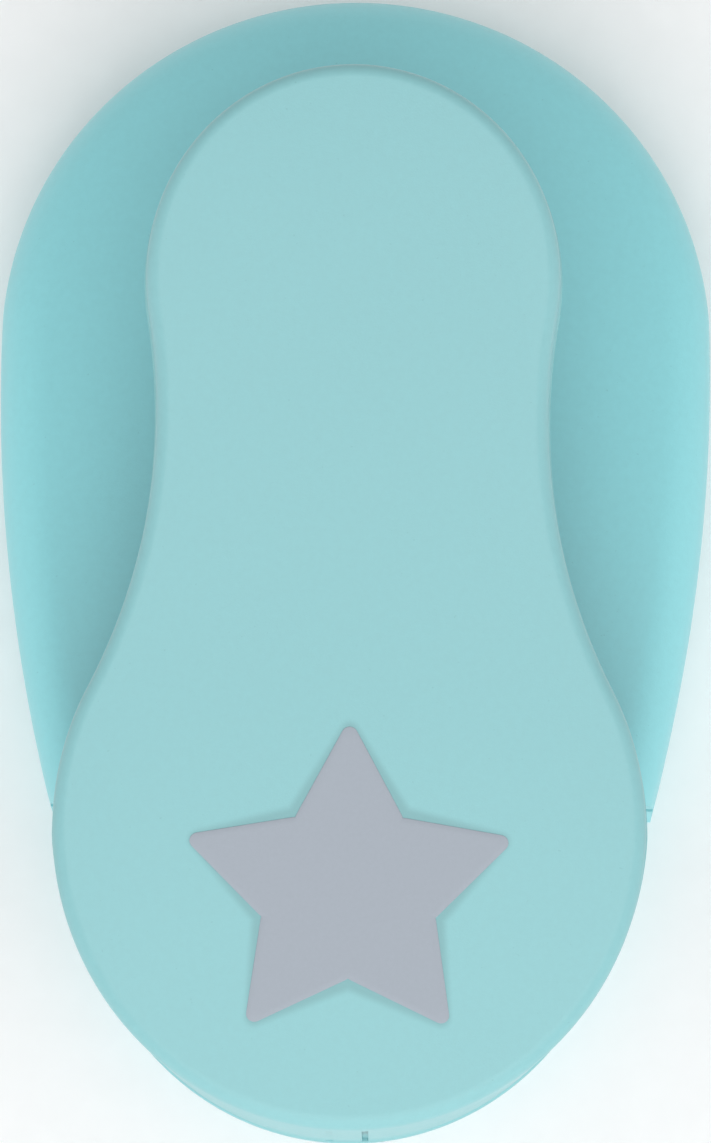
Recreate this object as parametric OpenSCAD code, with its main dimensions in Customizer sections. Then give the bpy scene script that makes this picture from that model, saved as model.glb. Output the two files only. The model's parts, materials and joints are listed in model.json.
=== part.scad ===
// Lever paper punch with a star-shaped cutter.
// +X right, +Y towards the back, +Z up. The front, where paper goes in, faces -Y.
// The origin is on the table, under the centre of the outline. The lever is shown at rest, raised.

/* [Overall] */
// Length from the front of the lever to the back of the body
total_l = 95; // [90:1:120]
// Width of the body at its widest
body_w = 58; // [54:1:72]
// Height of the body's dome
dome_top = 16.4; // [15:0.2:20]

/* [Cutter] */
// Centre to point of the star that is cut
star_r = 13.1; // [9:0.1:16]
// Inner corner of the star as a part of its point radius
star_waist = 0.518; // [0.45:0.002:0.6]
// Rounding of the star's points
star_tip_r = 0.6; // [0.3:0.1:1]
// Working travel of the cutter
stroke = 4; // [3:0.1:4.4]
// Gap on each side between the cutter and its guide and die
cutter_fit = 0.04; // [0.02:0.01:0.08]
// Height of the cutter's cutting edge above the paper slot at rest
cutter_lift = 0.3; // [0.1:0.1:0.6]

/* [Plates] */
// Thickness of the die plate
die_t = 3; // [2:0.1:4]
// Height of the die plate's top face above the table
die_top = 7; // [6:0.1:9]
// Height of the paper slot
slot_h = 1.6; // [1:0.1:2.2]
// Thickness of the guide block
guide_t = 6; // [5:0.1:8]
// Thickness of the plate on top of the cutter
head_t = 2.2; // [1.6:0.1:3]
// Paper that the slot takes in behind the star
slot_past_star = 3.4; // [2:0.1:6]
// Depth of the spacer behind the slot
spacer_l = 5.5; // [5:0.1:8]

/* [Springs] */
// Outside diameter of a return spring
spring_d = 6; // [5:0.1:7]
// Diameter of the spring wire
wire_d = 0.6; // [0.4:0.1:0.7]
// Turns in a spring
spring_turns = 5; // [4:1:5]

/* [Lever] */
// Radius of the lever's thumb pad
pad_r = 16.5; // [14:0.1:18]
// Distance from the back of the body to the centre of the thumb pad
pad_back = 28.75; // [26:0.1:34]
// Radius of the lever's hollowed waist
waist_r = 45; // [38:1:70]
// Slope of the lever's top at rest
lever_tilt = 14; // [12:0.5:15]
// Height of the lever's top above the hinge pin, square to the top
lever_over_pin = 5.1; // [4.9:0.1:6]
// Thickness of the lever cover's top
lever_top_t = 1.8; // [1.4:0.1:2]
// Thickness of the lever cover's side walls
lever_wall = 1.6; // [1.2:0.1:2]
// Gap between the guide block and the inside of the lever's walls
lever_gap = 1.8; // [1.2:0.1:2.5]
// Thickness of the lever's inner arm
arm_t = 1.6; // [1.2:0.1:1.8]
// Depth of the star inlay
inlay_t = 0.4; // [0.2:0.1:0.6]
// How far the sides of the star inlay lie outside those of the star that is cut
inlay_grow = 0.4; // [0:0.1:0.8]

/* [Hinge] */
// Diameter of the hinge pin
pin_d = 3; // [2.5:0.1:3.2]
// Gap all round between the hinge pin and its bore in the guide block
pin_fit = 0.03; // [0.02:0.01:0.08]
// Width of the guide block's hinge lug
lug_w = 7; // [5:0.5:8]
// Height of the hinge pin above the guide block's top
pin_over_guide = 3.8; // [3.4:0.1:4.4]

/* [Body] */
// Wall of the body shell and of the base tray
body_wall = 1.8; // [1.4:0.1:2.2]
// How far the shell's cut front end stands ahead of the back of the paper slot
shell_ahead = 7.5; // [6:0.1:9]
// Radius of the body's long sides
side_r = 140; // [110:5:200]
// Radius of the body's dome
dome_r = 150; // [120:5:200]
// Floor of the base tray
floor_t = 2.4; // [2:0.1:3]

/* [Hidden] */
$fn = 96;

plastic = [0.60, 0.81, 0.83];
steel = [0.70, 0.71, 0.73];
cast_metal = [0.62, 0.63, 0.65];
screw_metal = [0.50, 0.51, 0.53];
rubber = [0.16, 0.17, 0.18];
print_grey = [0.69, 0.72, 0.77];

// Small gaps
loose = 0.4;
seat_fit = 0.1;
touch = 0.03;
eps = 0.01;
far = 200;

// Springs sit beside the star, clear of its side and front points
spring_beside_star = 0.5;
spring_ahead = 0.35 * star_r;
spring_x = star_r + spring_beside_star;
spring_dy = -spring_ahead;
spring_gap = 0.2;
seat_r = spring_d / 2 + spring_gap;
seat_depth = 4;
seat_wall = 0.7;
spigot_h = 2.4;
spigot_r = spring_d / 2 - wire_d - loose;

// Plan of the cutting unit: the guide block is just wide enough for the springs
cutter_ahead = 4.6;
guide_r = norm([spring_x, cutter_ahead - spring_dy]) + seat_r + seat_wall;
front_r = guide_r + lever_gap + lever_wall;
front_y = front_r - total_l / 2;
cutter_y = front_y - cutter_ahead;
base_behind_lever = 3;
base_rim = 1.5;
ledge_step = 3.5;
nose_back = front_y + base_behind_lever;
base_front_r = guide_r + base_rim;
slot_back = cutter_y + star_r + slot_past_star;
spacer_back = slot_back + spacer_l;
ledge_w = 2 * (guide_r - ledge_step);
spacer_w = 2 * base_front_r;

// Heights of the cutting unit
die_z = die_top - die_t;
guide_z = die_top + slot_h;
guide_top = guide_z + guide_t;
cutter_z = guide_z + cutter_lift;
head_z = guide_top + loose + stroke;
head_top = head_z + head_t - touch;

// Hinge: as far forward as the lever's front wall lets the lug and the bosses go
lug_wall = 1.1;
lug_r = pin_d / 2 + lug_wall;
lug_root = 2;
boss_wall = 0.7;
boss_r = pin_d / 2 + boss_wall;
boss_gap = 0.3;
boss_w = 2.8;
boss_out = lug_w / 2 + boss_gap + boss_w;
boss_x = boss_out - boss_w / 2;
clip_t = 0.4;
clip_wall = 0.5;
clip_r = pin_d / 2 + clip_wall;
pin_past_clip = 0.2;
pin_half = boss_out + clip_t + pin_past_clip;
inner_r = front_r - lever_wall;
pin_y = front_y + max(lug_r + loose - sqrt(inner_r * inner_r - lug_w * lug_w / 4),
    boss_r + seat_fit - sqrt(inner_r * inner_r - boss_out * boss_out));
pin_z = guide_top + pin_over_guide;
hinge_arm = cutter_y - pin_y;

// The lever's round nose presses the plate on the cutter
nose_r = 2;
nose_half_w = 6;
nose_up = head_z + head_t + nose_r - pin_z;
nose_low = nose_up - stroke;
nose_arm = norm([hinge_arm, (nose_up + nose_low) / 2]);
nose_dy = sqrt(nose_arm * nose_arm - nose_up * nose_up);
swing = asin(nose_up / nose_arm) - asin(nose_low / nose_arm);

// Lever plan: thumb pad and front disc joined by two hollow arcs
pad_y = total_l / 2 - pad_back;
reach = pad_y - front_y;
waist_dy = (reach * reach + (front_r - pad_r) * (front_r + pad_r + 2 * waist_r)) / (2 * reach);
waist_y = front_y + waist_dy;
waist_x = sqrt(pow(front_r + waist_r, 2) - waist_dy * waist_dy);
lever_base_z = pin_z + lever_over_pin / cos(lever_tilt);
skirt_clear = 0.4;
skirt_drop = pin_z - dome_top - skirt_clear;
arm_side_gap = 3;
arm_half_w = waist_x - waist_r - lever_wall - arm_side_gap;
rib_side_gap = 3;
rib_x = arm_half_w - rib_side_gap;
rib_t = 1.6;
rib_h = 1.4;
rib_before_pad = 4;
lever_screw_x = 12;
lever_screw_y = front_y + 8.1;
lever_screw_before_pad = 9;
lever_screw_spots = [[-lever_screw_x, lever_screw_y], [lever_screw_x, lever_screw_y],
    [0, pad_y - lever_screw_before_pad]];
lever_boss_r = 2.1;
lever_screw_r = 1;
lever_screw_roof = 0.4;
lever_washer_r = lever_boss_r + 0.9;
lever_washer_t = 1.1;
slit_x = 1.35;
slit_w = 0.4;
slit_h = 4.2;

// Body plan
rear_r = body_w / 2;
rear_y = total_l / 2 - rear_r;
shell_front = slot_back - shell_ahead;
side_ahead = 2.7;
side_y = rear_y - side_ahead;
dome_ahead = 10;
dome_y = rear_y - dome_ahead;
hollow_behind_spacer = 2.5;
hollow_front = spacer_back + hollow_behind_spacer;
stop_behind_pad = 2;
stop_y = pad_y + stop_behind_pad;
stop_r = 4;
stop_sunk = 0.8;
stop_seat = dome_top - stop_sunk;
stop_gap = 0.15;
stem_r = 1.5;
stem_past_shell = 2;

// Screws
screw_r = 1.25;
screw_head_r = 2.4;
screw_head_t = 1.4;
screw_sunk = 0.2;
screw_end_gap = 0.2;
drive_w = 0.6;
drive_l = 1.2;
guide_screw_x = 14;
guide_screw_y = slot_back + 2.6;
guide_screw_spots = [[-guide_screw_x, guide_screw_y], [guide_screw_x, guide_screw_y]];
die_screw_x = 17;
die_screw_y = front_y + 6.1;
die_screw_roof = 0.6;
die_screw_spots = [[-die_screw_x, die_screw_y], [die_screw_x, die_screw_y]];
base_screw_x = rear_r - 8.5;
base_screw_y = hollow_front + 8;
base_screw_back = 7.5;
base_screw_l = 8;
base_screw_spots = [[-base_screw_x, base_screw_y], [base_screw_x, base_screw_y],
    [0, total_l / 2 - base_screw_back]];
base_boss_r = 3;
head_screw_dy = 4.6;
head_screw_grip = 4;
head_hole_depth = 5;
head_rim = 0.7;
head_bar_side = 0.6;
chute_gap = 0.6;
chute_r = star_r + chute_gap;

// Points of a star with rounded tips. Every side lies grow further out than on the plain star.
function side_distance() =
    star_r * star_r * star_waist * sin(36)
    / norm([star_r - star_r * star_waist * cos(36), star_r * star_waist * sin(36)]);
function tip_half_angle() = asin(side_distance() / star_r);
function tip_arc(a) = [for (s = [-2 : 2])
    let (c = star_r - star_tip_r / sin(tip_half_angle()),
        t = a + s * (90 - tip_half_angle()) / 2)
    [c * cos(a) + star_tip_r * cos(t), c * sin(a) + star_tip_r * sin(t)]];
function waist_point(a) = star_r * star_waist * [cos(a), sin(a)];
function star_points() = [for (i = [0 : 4])
    each concat(tip_arc(90 + 72 * i), [waist_point(126 + 72 * i)])];

module star(grow = 0) {
    k = (side_distance() + grow) / side_distance();
    polygon(k * star_points());
}

module cutter_star(grow = 0) {
    translate([0, cutter_y]) star(grow);
}

module guide_plan(grow = 0) {
    translate([0, front_y]) circle(r = guide_r + grow);
    translate([-ledge_w / 2 - grow, front_y])
        square([ledge_w + 2 * grow, spacer_back - front_y + grow]);
}

module die_plan(grow = 0) {
    translate([0, nose_back]) circle(r = base_front_r - body_wall + grow);
    translate([-ledge_w / 2 - grow, nose_back])
        square([ledge_w + 2 * grow, spacer_back - nose_back + grow]);
}

module body_plan(inset = 0) {
    intersection() {
        translate([rear_r - side_r, side_y]) circle(r = side_r - inset, $fn = 360);
        translate([side_r - rear_r, side_y]) circle(r = side_r - inset, $fn = 360);
        union() {
            translate([0, rear_y]) circle(r = rear_r - inset);
            translate([-rear_r, shell_front + inset])
                square([body_w, rear_y - shell_front - inset]);
        }
    }
}

module lever_plan(inset = 0) {
    pad_tangent = [waist_x, waist_dy - reach] * pad_r / (pad_r + waist_r) + [0, pad_y];
    front_tangent = [waist_x, waist_dy] * front_r / (front_r + waist_r) + [0, front_y];
    translate([0, pad_y]) circle(r = pad_r - inset);
    translate([0, front_y]) circle(r = front_r - inset);
    difference() {
        polygon([pad_tangent, front_tangent, [-front_tangent.x, front_tangent.y],
            [-pad_tangent.x, pad_tangent.y]]);
        for (side = [-1, 1])
            translate([side * waist_x, waist_y]) circle(r = waist_r + inset, $fn = 180);
    }
}

// Moves to a point of the lever's sloping top; z is then square to the top
module on_lever(y) {
    translate([0, pin_y, lever_base_z]) rotate([lever_tilt, 0, 0])
        translate([0, (y - pin_y) / cos(lever_tilt), 0]) children();
}

// Everything more than drop below the lever's top
module under_lever_top(drop) {
    on_lever(front_y) translate([-far / 2, -far / 2, -far - drop]) cube([far, far, far]);
}

// Everything above the lower edge of the lever's side walls
module over_skirt_edge() {
    translate([0, pin_y, pin_z]) rotate([swing, 0, 0])
        translate([-far / 2, -far / 2, -skirt_drop]) cube([far, far, far]);
}

module dome(inset = 0) {
    translate([0, dome_y, dome_top - dome_r]) sphere(r = dome_r - inset, $fn = 240);
}

module at_spots(spots) {
    for (p = spots) translate([p.x, p.y, 0]) children();
}

// A screw with its head's outer face at z = 0 and its shank rising
module screw(length, shank_r = screw_r, head_r = screw_head_r, head_t = screw_head_t) {
    difference() {
        union() {
            cylinder(r = head_r, h = head_t);
            cylinder(r = shank_r, h = length);
        }
        for (turn = [0, 90]) rotate(turn)
            translate([-head_r * drive_l / 2, -drive_w / 2, -eps])
            cube([head_r * drive_l, drive_w, head_t / 2]);
    }
}

module x_cylinder(r, x0, x1) {
    translate([x0, 0, 0]) rotate([0, 90, 0]) cylinder(r = r, h = x1 - x0);
}

module at_pin() {
    translate([0, pin_y, pin_z]) children();
}

module base_tray() {
    color(plastic) difference() {
        linear_extrude(die_top) {
            body_plan();
            translate([0, nose_back]) circle(r = base_front_r);
        }
        translate([0, 0, die_z]) linear_extrude(die_t + eps) die_plan(seat_fit);
        translate([0, cutter_y, -eps]) cylinder(r = chute_r, h = die_top);
        translate([0, 0, floor_t]) linear_extrude(die_top) intersection() {
            body_plan(body_wall);
            translate([-body_w, hollow_front]) square([2 * body_w, total_l]);
        }
        at_spots(die_screw_spots) {
            translate([0, 0, -eps]) cylinder(r = screw_head_r + seat_fit, h = screw_head_t);
            cylinder(r = screw_r + seat_fit, h = die_top);
        }
        at_spots(base_screw_spots) {
            translate([0, 0, -eps]) cylinder(r = screw_head_r + seat_fit, h = screw_head_t);
            cylinder(r = screw_r + seat_fit, h = die_top);
        }
    }
}

module body_shell() {
    color(plastic) difference() {
        union() {
            difference() {
                intersection() {
                    translate([0, 0, die_top]) linear_extrude(dome_top) body_plan();
                    dome();
                }
                intersection() {
                    translate([0, 0, die_top - eps]) linear_extrude(dome_top) difference() {
                        body_plan(body_wall);
                        guide_plan(body_wall + loose);
                    }
                    dome(body_wall);
                }
            }
            intersection() {
                at_spots(base_screw_spots) translate([0, 0, floor_t])
                    cylinder(r = base_boss_r, h = dome_top);
                dome(body_wall / 2);
            }
        }
        translate([0, 0, die_top - eps]) linear_extrude(dome_top) guide_plan(loose);
        translate([-spacer_w / 2 - loose, shell_front - eps, die_top - eps])
            cube([spacer_w + 2 * loose, spacer_back - shell_front + loose, slot_h + loose]);
        translate([-body_w, shell_front - eps, die_top - eps])
            cube([2 * body_w, slot_back - shell_front, slot_h]);
        at_spots(base_screw_spots) translate([0, 0, floor_t - eps])
            cylinder(r = screw_r, h = die_top);
        translate([0, stop_y, stop_seat]) cylinder(r = stop_r, h = dome_top);
        translate([0, stop_y, die_top]) cylinder(r = stem_r, h = dome_top);
    }
}

module die_plate() {
    color(steel) difference() {
        translate([0, 0, die_z]) linear_extrude(die_t) difference() {
            die_plan();
            cutter_star(cutter_fit);
        }
        at_spots(guide_screw_spots) cylinder(r = screw_r, h = far);
        at_spots(die_screw_spots) cylinder(r = screw_r, h = die_top - die_screw_roof);
    }
}

module throat_spacer() {
    color(steel) difference() {
        translate([-spacer_w / 2, slot_back, die_top]) cube([spacer_w, spacer_l, slot_h]);
        at_spots(guide_screw_spots) cylinder(r = screw_r + seat_fit, h = far);
    }
}

module punch_guide() {
    color(cast_metal) difference() {
        union() {
            translate([0, 0, guide_z]) linear_extrude(guide_t) guide_plan();
            at_pin() x_cylinder(lug_r, -lug_w / 2, lug_w / 2);
            translate([-lug_w / 2, pin_y - lug_r, guide_top - lug_root])
                cube([lug_w, 2 * lug_r, pin_over_guide + lug_root]);
        }
        translate([0, 0, guide_z - eps]) linear_extrude(far) cutter_star(cutter_fit);
        for (side = [-1, 1]) translate([side * spring_x, cutter_y + spring_dy, 0])
            translate([0, 0, guide_top - seat_depth]) cylinder(r = seat_r, h = far);
        at_pin() x_cylinder(pin_d / 2 + pin_fit, -lug_w, lug_w);
        at_spots(guide_screw_spots) cylinder(r = screw_r + seat_fit, h = far);
    }
}

module star_punch() {
    color(steel) difference() {
        translate([0, 0, cutter_z]) linear_extrude(head_z - cutter_z) cutter_star();
        for (dy = [-head_screw_dy, head_screw_dy])
            translate([0, cutter_y + dy, head_z - head_hole_depth])
            cylinder(r = screw_r, h = far);
    }
}

module punch_head() {
    bar_y = cutter_y + spring_dy;
    bar_r = spring_d / 2 + head_bar_side;
    color(cast_metal) difference() {
        union() {
            translate([0, 0, head_z]) linear_extrude(head_top - head_z) {
                translate([0, cutter_y]) circle(r = head_screw_dy + screw_head_r + head_rim);
                translate([-spring_x, bar_y - bar_r]) square([2 * spring_x, 2 * bar_r]);
                for (side = [-1, 1]) translate([side * spring_x, bar_y]) circle(r = bar_r);
            }
            for (side = [-1, 1]) translate([side * spring_x, bar_y, head_z - spigot_h])
                cylinder(r = spigot_r, h = spigot_h + eps);
        }
        for (dy = [-head_screw_dy, head_screw_dy]) translate([0, cutter_y + dy, 0]) {
            translate([0, 0, head_top - screw_head_t]) cylinder(r = screw_head_r, h = far);
            cylinder(r = screw_r, h = far);
        }
    }
}

module punch_head_screws() {
    color(screw_metal) for (dy = [-head_screw_dy, head_screw_dy])
        translate([0, cutter_y + dy, head_top]) rotate([180, 0, 0])
        screw(head_t + head_screw_grip);
}

// One turn of wire after another, each ring of points square to the helix
module return_spring(side) {
    steps = 12;
    sides = 8;
    rings = steps * spring_turns;
    wire_r = wire_d / 2;
    coil_r = spring_d / 2 - wire_r;
    low = guide_top - seat_depth + wire_r + touch;
    high = head_z - wire_r - touch;
    points = [for (i = [0 : rings]) for (j = [0 : sides - 1])
        let (a = 360 * i / steps, b = 360 * j / sides, r = coil_r + wire_r * cos(b))
        [r * cos(a), r * sin(a), low + (high - low) * i / rings + wire_r * sin(b)]];
    walls = [for (i = [0 : rings - 1]) for (j = [0 : sides - 1])
        let (p = sides * i + j, q = sides * i + (j + 1) % sides)
        [p, p + sides, q + sides, q]];
    ends = [[for (j = [0 : sides - 1]) j], [for (j = [sides - 1 : -1 : 0]) sides * rings + j]];
    color(steel) translate([side * spring_x, cutter_y + spring_dy, 0])
        polyhedron(points, concat(walls, ends));
}

module guide_screws() {
    length = guide_top - die_z + screw_head_t;
    color(screw_metal) at_spots(guide_screw_spots)
        translate([0, 0, guide_top + screw_head_t]) rotate([180, 0, 0]) screw(length);
}

module die_screws() {
    length = die_top - die_screw_roof - screw_end_gap - screw_sunk;
    color(screw_metal) at_spots(die_screw_spots) translate([0, 0, screw_sunk])
        screw(length, head_t = screw_head_t - screw_sunk - eps);
}

module base_screws() {
    color(screw_metal) at_spots(base_screw_spots) translate([0, 0, screw_sunk])
        screw(base_screw_l, head_t = screw_head_t - screw_sunk - eps);
}

module stop_pad() {
    arm_low = pin_z + lever_over_pin - lever_top_t - arm_t
        - (stop_y + stop_r - pin_y) * tan(swing - lever_tilt);
    color(rubber) translate([0, stop_y, 0]) {
        translate([0, 0, stop_seat]) cylinder(r = stop_r, h = arm_low - stop_gap - stop_seat);
        translate([0, 0, dome_top - body_wall - stem_past_shell])
            cylinder(r = stem_r, h = body_wall + stem_past_shell);
    }
}

module hinge_pin() {
    color(steel) at_pin() x_cylinder(pin_d / 2, -pin_half, pin_half);
}

module hinge_clips() {
    color(screw_metal) at_pin() for (side = [-1, 1])
        difference() {
            x_cylinder(clip_r, side * (boss_out + clip_t / 2) - clip_t / 2,
                side * (boss_out + clip_t / 2) + clip_t / 2);
            x_cylinder(pin_d / 2, -far, far);
        }
}

module lever_arm() {
    arm_mid = lever_over_pin - lever_top_t - arm_t / 2;
    web_t = boss_w - loose;
    web_behind_lug = 1.4;
    notch_back = pin_y + lug_r + loose;
    color(cast_metal) difference() {
        union() {
            difference() {
                intersection() {
                    linear_extrude(far) {
                        translate([0, front_y]) circle(r = front_r - lever_wall - boss_gap);
                        translate([-arm_half_w, front_y])
                            square([2 * arm_half_w, pad_y - front_y]);
                        translate([0, pad_y]) circle(r = arm_half_w);
                    }
                    difference() {
                        under_lever_top(lever_top_t);
                        under_lever_top(lever_top_t + arm_t);
                    }
                }
                translate([-pin_half - loose, -far, 0])
                    cube([2 * (pin_half + loose), far + notch_back, far]);
            }
            for (side = [-1, 1]) at_pin() {
                x_cylinder(boss_r, side * boss_x - boss_w / 2, side * boss_x + boss_w / 2);
                rotate([lever_tilt, 0, 0])
                    translate([side * boss_x - web_t / 2, -boss_r / 2, 0])
                    cube([web_t, boss_r / 2 + lug_r + web_behind_lug, arm_mid]);
            }
            intersection() {
                translate([0, pin_y + nose_dy, pin_z + nose_up]) 
                    x_cylinder(nose_r, -nose_half_w, nose_half_w);
                under_lever_top(lever_top_t + arm_t / 2);
            }
            intersection() {
                for (side = [-1, 1])
                    translate([side * rib_x - rib_t / 2, slot_back, 0])
                        cube([rib_t, pad_y - rib_before_pad - slot_back, far]);
                difference() {
                    under_lever_top(lever_top_t + arm_t / 2);
                    under_lever_top(lever_top_t + arm_t + rib_h);
                }
            }
        }
        at_pin() x_cylinder(pin_d / 2, -far, far);
        for (p = lever_screw_spots) on_lever(p.y) translate([p.x, 0, -far / 2])
            cylinder(r = lever_boss_r + seat_fit, h = far);
    }
}

module lever_cover() {
    color(plastic) difference() {
        union() {
            difference() {
                intersection() {
                    linear_extrude(far) lever_plan();
                    under_lever_top(0);
                    over_skirt_edge();
                }
                intersection() {
                    linear_extrude(far) lever_plan(lever_wall);
                    under_lever_top(lever_top_t);
                }
            }
            for (p = lever_screw_spots) on_lever(p.y)
                translate([p.x, 0, -lever_top_t - arm_t])
                cylinder(r = lever_boss_r, h = arm_t + lever_top_t / 2);
        }
        for (p = lever_screw_spots) on_lever(p.y)
            translate([p.x, 0, -lever_top_t - arm_t - eps])
            cylinder(r = lever_screw_r, h = arm_t + lever_top_t - lever_screw_roof);
        on_lever(cutter_y) translate([0, 0, -inlay_t]) linear_extrude(far) star(inlay_grow);
        for (side = [-1, 1])
            translate([side * slit_x - slit_w / 2, -total_l, 0])
            cube([slit_w, total_l + front_y - front_r + lever_wall + seat_fit,
                pin_z - skirt_drop + slit_h]);
    }
}

module lever_screws() {
    length = lever_washer_t + arm_t + lever_top_t - lever_screw_roof - seat_fit;
    color(screw_metal) for (p = lever_screw_spots) on_lever(p.y)
        translate([p.x, 0, -lever_top_t - arm_t - lever_washer_t])
        screw(length, lever_screw_r, lever_washer_r, lever_washer_t);
}

module star_inlay() {
    color(print_grey) on_lever(cutter_y) translate([0, 0, -inlay_t])
        linear_extrude(inlay_t) star(inlay_grow);
}

base_tray();
body_shell();
die_plate();
throat_spacer();
punch_guide();
star_punch();
punch_head();
punch_head_screws();
return_spring(-1);  // return_spring_left
return_spring(1);  // return_spring_right
guide_screws();
die_screws();
base_screws();
stop_pad();
hinge_pin();
hinge_clips();
lever_arm();
lever_cover();
lever_screws();
star_inlay();
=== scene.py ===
"""Looks for the lever paper punch: moulded shells, star, springs, metal works and studio."""

import json
import math

import bmesh
import bpy
from bpy.props import FloatProperty, FloatVectorProperty, PointerProperty
from mathutils import Matrix, Vector


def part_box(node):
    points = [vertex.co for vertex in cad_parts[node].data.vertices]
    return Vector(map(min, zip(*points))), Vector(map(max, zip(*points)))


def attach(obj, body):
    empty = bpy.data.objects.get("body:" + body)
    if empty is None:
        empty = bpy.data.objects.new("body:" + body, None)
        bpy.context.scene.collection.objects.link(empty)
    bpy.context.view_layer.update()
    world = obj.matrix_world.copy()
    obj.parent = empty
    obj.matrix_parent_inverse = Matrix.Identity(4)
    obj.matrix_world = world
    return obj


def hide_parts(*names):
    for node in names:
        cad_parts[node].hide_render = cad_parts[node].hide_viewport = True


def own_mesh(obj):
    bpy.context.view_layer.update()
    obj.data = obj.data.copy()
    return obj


bl_info = {
    "name": "Lever Paper Punch",
    "version": (1, 0, 0),
    "blender": (4, 5, 0),
    "location": "3D View > Sidebar > Paper Punch",
    "description": "Builds the moulded shells, star, springs, metal parts and studio of a lever paper punch",
    "category": "Object",
}

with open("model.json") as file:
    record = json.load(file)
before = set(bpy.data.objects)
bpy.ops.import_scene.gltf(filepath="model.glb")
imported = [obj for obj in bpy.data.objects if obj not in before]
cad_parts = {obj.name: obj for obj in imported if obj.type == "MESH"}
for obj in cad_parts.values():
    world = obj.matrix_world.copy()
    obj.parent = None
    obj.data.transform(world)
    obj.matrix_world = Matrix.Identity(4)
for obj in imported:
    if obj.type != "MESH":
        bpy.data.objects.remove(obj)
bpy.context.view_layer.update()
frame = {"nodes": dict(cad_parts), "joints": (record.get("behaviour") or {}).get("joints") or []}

MM = 0.001

# Places taken from the frame
NODE = frame["nodes"]
JOINTS = {joint["name"]: joint for joint in frame["joints"]}
PIN = Vector(JOINTS["lever_hinge"]["pos_m"])
SWING = math.radians(JOINTS["lever_hinge"]["range_deg"][1])


def low(node):
    return Vector(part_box(node)[0])


def high(node):
    return Vector(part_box(node)[1])


def middle(node):
    return (low(node) + high(node)) / 2


LEVER_LOW = low("lever_cover")
LEVER_FRONT_R = high("lever_cover").x
LEVER_FRONT_Y = LEVER_LOW.y + LEVER_FRONT_R
LEVER_BACK_Y = high("lever_cover").y
BODY_R = high("body_shell").x
BODY_BACK_Y = high("body_shell").y
SHELL_FRONT_Y = low("body_shell").y
SHELL_LOW_Z = high("base_tray").z
DOME_TOP = high("body_shell").z
STAR_TIP = high("star_inlay")

SHARP_ANGLE = math.radians(35)
FAR = 0.1  # reach of a cutter that passes right through the punch

# A star's points are a fifth of a turn apart
FIFTH = math.radians(72)
# A regular star's centre, as a part of its length from its two front points
STAR_CENTRE = math.cos(FIFTH / 2) / (1 + math.cos(FIFTH / 2))

# Brightness of the painted shadow round the star and of the painted shade in the slits, as parts of the
# lever's own
STAR_SHADOW_DARK = 0.74
SLIT_SHADE_DARK = 0.35


# ---------------------------------------------------------------- sizes and colours


class LeverSizes(bpy.types.PropertyGroup):
    pad_r: FloatProperty(
        name="Thumb pad radius", description="Radius of the round back end of the lever",
        default=16.5 * MM, unit="LENGTH")
    waist_r: FloatProperty(
        name="Waist radius", description="Radius of the hollow sides of the lever",
        default=45 * MM, unit="LENGTH")
    slope: FloatProperty(
        name="Slope", description="Slope of the lever's top at rest",
        default=math.radians(14), unit="ROTATION")
    over_pin: FloatProperty(
        name="Height over pin", description="Height of the top above the hinge pin, square to the top",
        default=5.1 * MM, unit="LENGTH")
    draft: FloatProperty(
        name="Draft", description="How far the side walls lean in at the top",
        default=0.2 * MM, unit="LENGTH")
    bead: FloatProperty(
        name="Bead", description="How far the bead along the lower edge stands out",
        default=0.14 * MM, unit="LENGTH")
    bead_h: FloatProperty(
        name="Bead height", description="Height of the bead along the lower edge",
        default=0.9 * MM, unit="LENGTH")
    front_lean: FloatProperty(
        name="Front lean", description="How far the front wall leans back at its top",
        default=0.3 * MM, unit="LENGTH")
    side_tuck: FloatProperty(
        name="Side tuck", description="How far the lower edge is tucked in beside the front wall",
        default=1.24 * MM, unit="LENGTH")
    front_tuck: FloatProperty(
        name="Front tuck", description="How fast the lower edge draws in from the middle of the front",
        default=2.53 * MM, unit="LENGTH")
    edge_r: FloatProperty(
        name="Edge radius", description="Rounding of the top edge",
        default=1.15 * MM, unit="LENGTH")
    wall: FloatProperty(
        name="Wall", description="Thickness of the side walls",
        default=1.6 * MM, unit="LENGTH")
    top: FloatProperty(
        name="Top", description="Thickness of the top",
        default=1.8 * MM, unit="LENGTH")
    slit_x: FloatProperty(
        name="Slit place", description="Distance of each front slit from the middle",
        default=1.43 * MM, unit="LENGTH")
    slit_w: FloatProperty(
        name="Slit width", description="Width of each front slit",
        default=0.5 * MM, unit="LENGTH")
    slit_h: FloatProperty(
        name="Slit height", description="Height of each front slit above the bead",
        default=4.7 * MM, unit="LENGTH")
    slit_deep: FloatProperty(
        name="Right slit depth", description="Depth of the dark front slit on the right",
        default=0.3 * MM, unit="LENGTH")
    slit_shallow: FloatProperty(
        name="Left slit depth", description="Depth of the faint front slit on the left",
        default=0.06 * MM, unit="LENGTH")


class StarSizes(bpy.types.PropertyGroup):
    radius: FloatProperty(
        name="Point radius", description="From the centre to a point of the star",
        default=13.98 * MM, unit="LENGTH")
    waist: FloatProperty(
        name="Inner corner", description="Radius of an inner corner as a part of the point radius",
        default=0.518, subtype="FACTOR")
    tip_r: FloatProperty(
        name="Tip rounding", description="Rounding of each point",
        default=0.65 * MM, unit="LENGTH")
    proud: FloatProperty(
        name="Stands proud", description="How far the star stands above the lever",
        default=0.05 * MM, unit="LENGTH")
    length: FloatProperty(
        name="Length factor", description="Length of the star as a part of that of a regular one",
        default=0.98, subtype="FACTOR")
    # The halo is a painted shadow of the raised star, darker on the lever next to its edge.
    shadow_width: FloatProperty(
        name="Halo width", description="Width of the darker line round the star",
        default=0.45 * MM, unit="LENGTH")
    shadow_depth: FloatProperty(
        name="Halo depth", description="Strength of the darker line round the star",
        default=0.8, subtype="FACTOR")


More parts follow.
